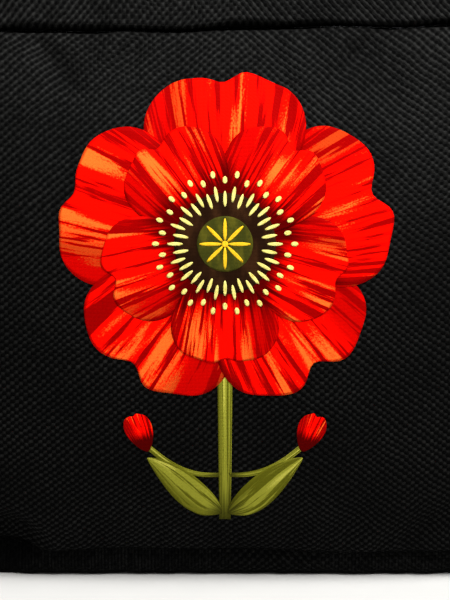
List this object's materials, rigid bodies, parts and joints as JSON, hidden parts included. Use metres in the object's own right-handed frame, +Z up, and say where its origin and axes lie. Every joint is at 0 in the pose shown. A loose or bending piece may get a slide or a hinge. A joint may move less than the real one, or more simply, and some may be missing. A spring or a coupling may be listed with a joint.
{
  "type": "zip pouch",
  "caption": "Small padded pouch of black woven cloth with side gussets, a flat base and a coil zip along the top, a red blossom print on its front.",
  "frame": {"origin": "centre of the flat base, on the plane the pouch stands on", "axes": "+Z up, -Y out of the printed front panel, +X along the zip to the viewer's right when facing the front"},
  "size_m": [0.1294, 0.0608, 0.142],
  "materials": {
    "woven_cloth": "coarse plain-woven synthetic bag cloth, black, with a faint sheen on the floats",
    "padding_foam": "soft closed-cell foam sheet",
    "lining_cloth": "thin plain lining cloth",
    "zip_tape": "black twill-woven zip tape",
    "zip_coil": "black nylon monofilament coil",
    "slider_metal": "die-cast zinc alloy with a dark nickel finish"
  },
  "bodies": {
    "pouch": {"cloth_panel_front": "woven_cloth", "cloth_panel_back": "woven_cloth", "cloth_top_band_front": "woven_cloth", "cloth_top_band_back": "woven_cloth", "cloth_side_gusset_left": "woven_cloth", "cloth_side_gusset_right": "woven_cloth", "cloth_base": "woven_cloth", "foam_panel_front": "padding_foam", "foam_panel_back": "padding_foam", "foam_top_band_front": "padding_foam", "foam_top_band_back": "padding_foam", "foam_side_gusset_left": "padding_foam", "foam_side_gusset_right": "padding_foam", "foam_base": "padding_foam", "lining_panel_front": "lining_cloth", "lining_panel_back": "lining_cloth", "lining_top_band_front": "lining_cloth", "lining_top_band_back": "lining_cloth", "lining_side_gusset_left": "lining_cloth", "lining_side_gusset_right": "lining_cloth", "lining_base": "lining_cloth", "zip_tape_front": "zip_tape", "zip_tape_back": "zip_tape", "zip_coil_front": "zip_coil", "zip_coil_back": "zip_coil", "zip_top_stop_front": "slider_metal", "zip_top_stop_back": "slider_metal", "zip_slider": "slider_metal", "zip_end_tab_left": "woven_cloth", "zip_end_tab_right": "woven_cloth"},
    "pull_tab": {"pull_tab": "slider_metal"}
  },
  "joints": [
    {"name": "pull_tab_hinge", "type": "hinge", "parent": "pouch", "child": "pull_tab", "pos_m": [0.028, 0, 0.13945], "axis": [0, 1, 0], "range_deg": [0, 180]}
  ]
}
